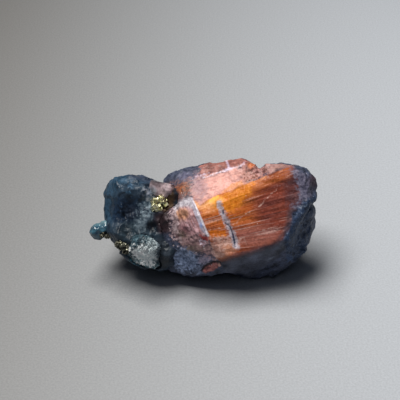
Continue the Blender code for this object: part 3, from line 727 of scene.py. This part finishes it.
def grained_skin(tree, shader, place, gloss, height, faces, tilt, strength=0.5):
    """Uneven gloss and a fine bump, under tiny crystal faces of which some catch the light."""
    pattern, low, high = gloss
    rough = add(tree, "MapRange", None, {"Value": pattern, "To Min": low, "To Max": high})
    bump = add(tree, "Bump", None, {"Strength": strength, "Distance": BUMP, "Height": height})
    cells = add(tree, "TexVoronoi", None, {"Vector": place, "Scale": faces}, output="Color")
    centred = add(tree, "VectorMath", {"operation": "SUBTRACT"}, {0: cells, 1: (0.5, 0.5, 0.5)})
    tilted = add(tree, "VectorMath", {"operation": "SCALE"}, {0: centred, "Scale": tilt})
    total = add(tree, "VectorMath", {"operation": "ADD"}, {0: bump, 1: tilted})
    normal = add(tree, "VectorMath", {"operation": "NORMALIZE"}, {0: total})
    feed(tree, shader, {"Roughness": rough, "Normal": normal})


def stone_finish():
    """Afghanite, broken: silky fibres on its cleavage face, glassy grains on its rough sides."""
    made, tree, shader, place = new_finish("fibrous_afghanite", WORN | AFGHANITE)
    run = add(tree, "Attribute", {"attribute_name": "fan_run"}, output="Vector")
    blades = add(tree, "Attribute", {"attribute_name": "blade_run"}, output="Vector")
    patterns = patterns_of(tree, place)
    fine = spread_noise(tree, run, FINE_FIBRES)
    patterns.update(
        smooth=spread_noise(tree, place, SMOOTH),
        fibres=crossed(tree, spread_noise(tree, run, BROAD_FIBRES), fine, 0.3),
        threads=spread_noise(tree, run, THREADS),
        silk=crossed(tree, patterns["cloud"], fine, 0.25),
        blades=spread_noise(tree, blades, BLADES),
    )
    feed(tree, shader, {"Base Color": painted(tree, "slate", STONE_ZONES, patterns)})
    silk = spread_noise(tree, run, SILK_SHEEN)
    silky = add(tree, "Attribute", {"attribute_name": "silky"}, output="Fac")
    height = add(tree, "Mix", None, {0: silky, 2: patterns["sugar"], 3: silk})
    grained_skin(tree, shader, place, (patterns["sugar"], 0.3, 0.6), height, faces=5.5, tilt=0.25)
    return made


def crystal_finish():
    """Blue afghanite, a grown crystal: deep colour under a glassy skin."""
    made, tree, shader, place = new_finish("glassy_blue_afghanite", WORN | AFGHANITE)
    patterns = patterns_of(tree, place)
    feed(tree, shader, {"Base Color": painted(tree, "blue", CRYSTAL_ZONES, patterns)})
    grained_skin(tree, shader, place, (patterns["cloud"], 0.3, 0.5), patterns["sugar"], faces=4.0, tilt=0.2)
    return made


def knob_finish():
    """Blue afghanite, a small clean crystal: glossy teal skin over a paler neck."""
    made, tree, shader, place = new_finish("clean_blue_afghanite", AFGHANITE | {"Roughness": 0.15})
    cloud = spread_noise(tree, place, KNOB_CLOUD)
    body = two_tone(tree, cloud, "knob")
    height = add(tree, "SeparateXYZ", None, {0: place}, output=1)
    neck = add(tree, "MapRange", SOFT_STEP, {"Value": height, "From Min": -1.0, "From Max": -0.1})
    colour = add(tree, "Mix", COLOURS, {0: neck, 6: body, 7: tone("knob_neck", "light")}, output=2)
    bump = add(tree, "Bump", None, {"Strength": 0.4, "Distance": BUMP, "Height": cloud})
    feed(tree, shader, {"Base Color": colour, "Normal": bump})
    return made


def calcite_finish(name, ground, zones):
    """Calcite, cleaved: milky grains with glinting flat faces."""
    made, tree, shader, place = new_finish(name, WORN | CALCITE)
    patterns = patterns_of(tree, place)
    if any(zone.pattern == "needles" for zone in zones):
        run = add(tree, "Attribute", {"attribute_name": "fan_run"}, output="Vector")
        needles = spread_noise(tree, run, NEEDLES)
        speckle = crossed(tree, patterns["cells"], patterns["sugar"], 0.45)
        patterns["needles"] = crossed(tree, needles, speckle, 0.35)
    feed(tree, shader, {"Base Color": painted(tree, ground, zones, patterns)})
    sugar = patterns["sugar"]
    grained_skin(tree, shader, place, (sugar, 0.3, 0.6), sugar, faces=5.0, tilt=0.25, strength=0.4)
    return made


def pyrite_finish(name, tones):
    """Pyrite, grown cubes: pale brass metal with striated faces and a dull tarnish in places."""
    made, tree, shader, place = new_finish(name, {"Metallic": 1.0})
    tarnish = spread_noise(tree, place, TARNISH)
    bright, dull = tone(tones, "light"), tone(tones, "dark")
    colour = add(tree, "Mix", COLOURS, {0: tarnish, 6: bright, 7: dull}, output=2)
    rough = add(tree, "MapRange", None, {"Value": tarnish, "To Min": 0.3, "To Max": 0.55})
    stripes = spread_noise(tree, place, CUBE_STRIPES)
    bump = add(tree, "Bump", None, {"Strength": 0.5, "Distance": STRIPE_DEPTH, "Height": stripes})
    feed(tree, shader, {"Base Color": colour, "Roughness": rough, "Normal": bump})
    return made


def floor_finish():
    """Painted table top: satin grey with a fine grit that breaks up the light, and painted shade that
    darkens it to the left.
    """
    settings = bpy.context.scene.afghanite_stage
    made, tree, shader, place = new_finish("satin_grey_paint", {"Roughness": 0.55}, (0, 0, 0), 0)
    grit = spread_noise(tree, place, FLOOR_GRIT)
    across = add(tree, "SeparateXYZ", None, {0: place})
    # painted shade: the floor's colour runs from a darker left to a lighter right
    wash = add(tree, "MapRange", SOFT_STEP, {
        "Value": across, "From Min": -FLOOR_WASH, "From Max": FLOOR_WASH,
    })
    left, right = (*settings.floor_shaded_left, 1), (*settings.floor_right, 1)
    shaded = add(tree, "Mix", COLOURS, {0: wash, 6: left, 7: right}, output=2)
    grain = add(tree, "Mix", COLOURS, {0: grit, 6: (0.84, 0.84, 0.84, 1), 7: (1, 1, 1, 1)}, output=2)
    colour = add(tree, "Mix", COLOURS | {"blend_type": "MULTIPLY"}, {0: 1.0, 6: shaded, 7: grain}, output=2)
    bump = add(tree, "Bump", None, {"Strength": 0.3, "Distance": BUMP, "Height": grit})
    feed(tree, shader, {"Base Color": colour, "Normal": bump})
    return made


# ---------- pieces


def make_main_stone():
    settings = bpy.context.scene.afghanite_surface
    piece = fine_copy("afghanite_mass", "main_stone", settings.stone_detail)
    points = places(piece)
    fields = zone_fields(points, STONE_ZONES)
    run, blades = fan_run(points, FIBRE_APEX, FIBRE_REACH), blade_run(points)

    def within(zone, soft):
        return share(fields[zone], soft)

    silky, rimmed = within("fibrous", 0.15), within("rim", 0.4)
    rough = (1 - silky) * (1 - 0.8 * within("facet", 0.3)) * (1 - 0.5 * rimmed)
    rough *= 1 - 0.6 * within("wedge_streaks", 0.4)
    ribbed = silky * (1 - 0.7 * within("band", 0.3))
    step, chip = settings.fibre_step / MM, settings.break_height / MM
    broad, fine = run * (0.05, 1, 0.5), run * (0.06, 1, 0.5)
    heights = GROWTH + rough * chip * (0.6 * facets(points, 1.1) + 0.4 * facets(points, 0.45, 7.0))
    heights += rimmed * RIM_BREAK * facets(points, 0.9, 3.0)
    heights += ribbed * step * (facets(broad, 0.5) + 0.4 * facets(fine, 0.22, 3.0))
    heights += within("granular", 0.3) * GRAIN_HEIGHT * (domes(points, 0.55) - 0.5)
    heights -= within("pitted", 0.3) * PIT_DEPTH * domes(points, 0.5, 11.0)
    heights += within("wedge_streaks", 0.3) * BLADE_HEIGHT * facets(blades * (0.12, 1, 0.5), 0.22)
    for zone, (height, soft) in ZONE_RELIEF.items():
        heights += height * within(zone, soft)
    heights += GRIT * lumps(points, 0.16)
    raise_surface(piece, heights)
    store(piece, fields | {"silky": silky, "fan_run": run, "blade_run": blades})
    settle(piece, stone_finish())
    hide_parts("afghanite_mass")


def make_blue_crystals():
    settings = bpy.context.scene.afghanite_surface
    piece = fine_copy("blue_crystal", "deep_blue_crystal", settings.crystal_detail)
    points = places(piece)
    seam = np.where(points[:, 0] > CRYSTAL_SEAM, 1, 0)
    heights = 0.10 * facets(points, 1.6, 5.0) + 0.02 * facets(points, 0.6)
    heights += GROWTH * seam - CROWN_WEAR * share(points[:, 1] - CROWN, 0.4)
    striated = 0.02 + 0.03 * share(zone_field(points, CRYSTAL_HOLLOW), 0.6)
    heights += striated * facets(points * (1, 0.15, 0.6), 0.32, 9.0) + 0.01 * lumps(points, 0.16)
    raise_surface(piece, heights)
    store(piece, zone_fields(points, CRYSTAL_ZONES))
    settle(piece, crystal_finish())
    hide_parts("blue_crystal")

    knob = fine_copy("knob_crystal", "round_knob_crystal", settings.crystal_detail)
    points = places(knob)
    free = share(KNOB_SEAM - points[:, 0], 0.3)  # the part that stands clear of the stone
    raise_surface(knob, GROWTH - KNOB_WEAR * free + 0.04 * lumps(points, 0.5) + 0.02 * facets(points, 0.4))
    bpy.ops.transform.translate(value=(KNOB_SHIFT, 0, 0))
    bpy.ops.object.transform_apply(location=True, rotation=False, scale=False)
    settle(knob, knob_finish())
    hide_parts("knob_crystal")


def crystal_shape(name, lean, bevel):
    """One unit crystal: a cube with its top pushed aside and its edges broken."""
    bpy.ops.object.select_all(action="DESELECT")
    bpy.ops.mesh.primitive_cube_add(size=1)
    shape = bpy.context.object
    shape.name = name
    bpy.ops.object.mode_set(mode="EDIT")
    bpy.ops.mesh.select_mode(type="FACE")
    shell = bmesh.from_edit_mesh(shape.data)
    for face in shell.faces:
        face.select_set(face.normal.z > 0.5)
    bmesh.update_edit_mesh(shape.data)
    bpy.ops.transform.translate(value=(lean, lean / 3, 0))
    bpy.ops.mesh.select_all(action="SELECT")
    bpy.ops.mesh.bevel(offset=bevel, segments=1)
    bpy.ops.mesh.select_all(action="SELECT")
    bpy.ops.mesh.quads_convert_to_tris()
    bpy.ops.object.mode_set(mode="OBJECT")
    return shape


def strewn(name, shape, spots):
    """Joined mesh of many copies of one crystal, each spot a place, a turn and a size."""
    corners = places(shape)
    faces = np.array([p.vertices[:] for p in shape.data.polygons])
    all_corners, all_faces = [], []
    for k, (place, turn, size) in enumerate(spots):
        all_corners.append((corners * size) @ np.array(turn.to_matrix()).T + place)
        all_faces.append(faces + k * len(corners))
    mesh = bpy.data.meshes.new(name)
    mesh.from_pydata(np.concatenate(all_corners).tolist(), [], np.concatenate(all_faces).tolist())
    piece = bpy.data.objects.new(name, mesh)
    bpy.context.collection.objects.link(piece)
    bpy.data.objects.remove(shape)
    return piece


def random_turn(rng):
    return Euler(rng.uniform(0, 2 * math.pi, 3))


def crust_fields(points):
    return zone_fields(points, CRUST_ZONES) | {"fan_run": fan_run(points, CRUST_HEART, CRUST_REACH)}


def make_calcite():
    settings = bpy.context.scene.afghanite_surface
    rng = np.random.default_rng(7)
    crust = fine_copy("calcite_crust", "sugary_calcite", settings.crystal_detail)
    points = places(crust)
    foot = share(CRUST_FOOT - points[:, 1], 0.5)
    raise_surface(crust, 0.06 * (domes(points, 0.5) - 0.5) + 0.06 * facets(points, 0.3) - 0.3 * foot)
    points, ups = places(crust), directions(crust)
    fields = crust_fields(points)
    store(crust, fields)
    # grains grow thickest on the white part, and none hang from below
    chance = (ups[:, 2] > -0.1) * (0.25 + share(fields["sugar_white"], 0.4))
    spots = []
    for k in rng.choice(len(points), settings.crust_grains, replace=False, p=chance / chance.sum()):
        size = settings.sugar_grain / MM * rng.uniform(0.3, 1.0, 3)
        spots.append((points[k] + ups[k] * 0.02, random_turn(rng), size))
    sugary = calcite_finish("sugary_calcite", "crust", CRUST_ZONES)
    settle(crust, sugary)
    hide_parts("calcite_crust")
    grains = strewn("calcite_grains", crystal_shape("calcite_grain", 0.25, 0.06), spots)
    store(grains, crust_fields(places(grains)))
    settle(grains, sugary)
    bpy.ops.object.shade_flat()

    block = fine_copy("pink_calcite", "pink_calcite_block", settings.crystal_detail)
    points = places(block)
    excess = np.maximum(0, points[:, 1] - (BLOCK_TOP[1] - BLOCK_FALL * (points[:, 0] - BLOCK_TOP[0])))
    points[:, 1] -= 0.9 * excess  # presses the top flat
    move_to(block, points)
    corner = share(points[:, 0] - BLOCK_CORNER[0], 0.3) * share(BLOCK_CORNER[1] - points[:, 1], 0.4)
    raise_surface(block, 0.05 * facets(points, 0.7) + 0.015 * lumps(points, 0.2) + 0.3 * corner)
    store(block, zone_fields(places(block), BLOCK_ZONES))
    settle(block, calcite_finish("pink_calcite", "block", BLOCK_ZONES))
    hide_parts("pink_calcite")


def make_pyrite():
    settings = bpy.context.scene.afghanite_surface
    bright = pyrite_finish("pyrite", "pyrite")
    # a darker copy of the pyrite colours for the lower and neck clusters: partly tarnish, partly painted
    # shade
    shaded = pyrite_finish("tarnished_pyrite", "pyrite_shade")
    clusters = (  # node, number of cubes, largest cube, how deep the cubes sit, finish
        ("upper_pyrite", 46, 1.0, 0.55, bright), ("lower_pyrite", 40, 0.8, 0.6, shaded),
        ("neck_pyrite", 40, 0.55, 0.6, shaded),
    )
    for seed, (node, count, scale, depth, finish) in enumerate(clusters):
        rng = np.random.default_rng(seed + 20)
        body = fine_copy(node, f"{node}_body", settings.crystal_detail)
        points, ups = places(body), directions(body)
        bpy.data.objects.remove(body)
        spots = []
        for k in rng.choice(len(points), count, replace=False):
            size = scale * settings.cube_size / MM * rng.uniform(0.45, 1.0)
            spots.append((points[k] - ups[k] * size * depth, random_turn(rng), size * np.ones(3)))
        cube = crystal_shape("pyrite_cube", 0.0, 0.05)
        cubes = strewn(node.replace("pyrite", "pyrite_cubes"), cube, spots)
        settle(cubes, finish)
        bpy.ops.object.shade_flat()
        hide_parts(node)


def make_stage():
    settings = bpy.context.scene.afghanite_stage
    scene = bpy.context.scene
    bpy.ops.object.select_all(action="DESELECT")
    bpy.ops.mesh.primitive_plane_add(size=3.0)
    floor = bpy.context.object
    floor.name = "floor"
    floor.data.materials.append(floor_finish())

    for name, size, power, place, colour in (  # in metres, and parts of the key light's power
        ("key_softbox", (0.15, 0.08), 1.0, (-0.038, 0.016, 0.185), "#fffdf8"),
        ("front_softbox", (0.20, 0.20), 0.12, (-0.04, -0.22, 0.30), "#e4ecff"),
    ):
        bpy.ops.object.light_add(type="AREA", location=place)
        lamp = bpy.context.object
        lamp.name = name
        lamp.data.shape = "RECTANGLE"
        lamp.data.size, lamp.data.size_y = size
        lamp.data.energy = power * settings.key_power
        lamp.data.color = srgb(colour)
        lamp.rotation_euler = (LAMP_TARGET - lamp.location).to_track_quat("-Z", "Y").to_euler()

    world = bpy.data.worlds.new("studio")
    world.use_nodes = True
    background = world.node_tree.nodes["Background"].inputs
    background["Color"].default_value = (*srgb("#b4c2d8"), 1)
    background["Strength"].default_value = 0.05
    scene.world = world
    scene.view_settings.view_transform = "Standard"

    # the camera looks straight at the display plane
    eye = TO_WORLD @ Vector((*VIEW_MIDDLE, settings.camera_distance / MM))
    bpy.ops.object.camera_add(location=eye)
    camera = bpy.context.object
    camera.name = "display_camera"
    camera.rotation_euler = (DISPLAY_TILT, 0, 0)
    camera.data.sensor_width = 36
    camera.data.lens = camera.data.sensor_width * settings.camera_distance / (VIEW_WIDTH * MM)
    camera.data.clip_start = 0.005
    scene.camera = camera


# ---------- operators


class SPECIMEN_OT_main_stone(bpy.types.Operator):
    """Adds the main stone with its fibrous face, veins and rough sides"""

    bl_idname = "specimen.main_stone"
    bl_label = "Main Stone"

    def execute(self, context):
        make_main_stone()
        return {"FINISHED"}


class SPECIMEN_OT_blue_crystals(bpy.types.Operator):
    """Adds the deep blue crystal and the round knob crystal"""

    bl_idname = "specimen.blue_crystals"
    bl_label = "Blue Crystals"

    def execute(self, context):
        make_blue_crystals()
        return {"FINISHED"}


class SPECIMEN_OT_calcite(bpy.types.Operator):
    """Adds the sugary white crust, its grains and the pink block"""

    bl_idname = "specimen.calcite"
    bl_label = "Calcite"

    def execute(self, context):
        make_calcite()
        return {"FINISHED"}


class SPECIMEN_OT_pyrite(bpy.types.Operator):
    """Adds the three clusters of pyrite cubes"""

    bl_idname = "specimen.pyrite"
    bl_label = "Pyrite"

    def execute(self, context):
        make_pyrite()
        return {"FINISHED"}


class SPECIMEN_OT_stage(bpy.types.Operator):
    """Adds the floor, the soft lights and the camera"""

    bl_idname = "specimen.stage"
    bl_label = "Stage"

    def execute(self, context):
        make_stage()
        return {"FINISHED"}


OPERATORS = (
    SPECIMEN_OT_main_stone, SPECIMEN_OT_blue_crystals, SPECIMEN_OT_calcite, SPECIMEN_OT_pyrite,
    SPECIMEN_OT_stage,
)


class VIEW3D_PT_afghanite(bpy.types.Panel):
    """Sidebar panel with the steps that dress the specimen"""

    bl_label = "Afghanite Specimen"
    bl_space_type = "VIEW_3D"
    bl_region_type = "UI"
    bl_category = "Afghanite"

    def draw(self, context):
        for operator in OPERATORS:
            self.layout.operator(operator.bl_idname)
        for settings in (context.scene.afghanite_surface, context.scene.afghanite_stage):
            for name in settings.__annotations__:
                self.layout.prop(settings, name)


CLASSES = (ZoneColours, SurfaceSettings, StageSettings, *OPERATORS, VIEW3D_PT_afghanite)


def register():
    for cls in CLASSES:
        bpy.utils.register_class(cls)
    bpy.types.Scene.afghanite_colours = PointerProperty(type=ZoneColours)
    bpy.types.Scene.afghanite_surface = PointerProperty(type=SurfaceSettings)
    bpy.types.Scene.afghanite_stage = PointerProperty(type=StageSettings)


def unregister():
    del bpy.types.Scene.afghanite_colours
    del bpy.types.Scene.afghanite_surface
    del bpy.types.Scene.afghanite_stage
    for cls in reversed(CLASSES):
        bpy.utils.unregister_class(cls)


def main():
    register()
    bpy.ops.specimen.main_stone()
    bpy.ops.specimen.blue_crystals()
    bpy.ops.specimen.calcite()
    bpy.ops.specimen.pyrite()
    bpy.ops.specimen.stage()


if __name__ == "__main__":
    main()
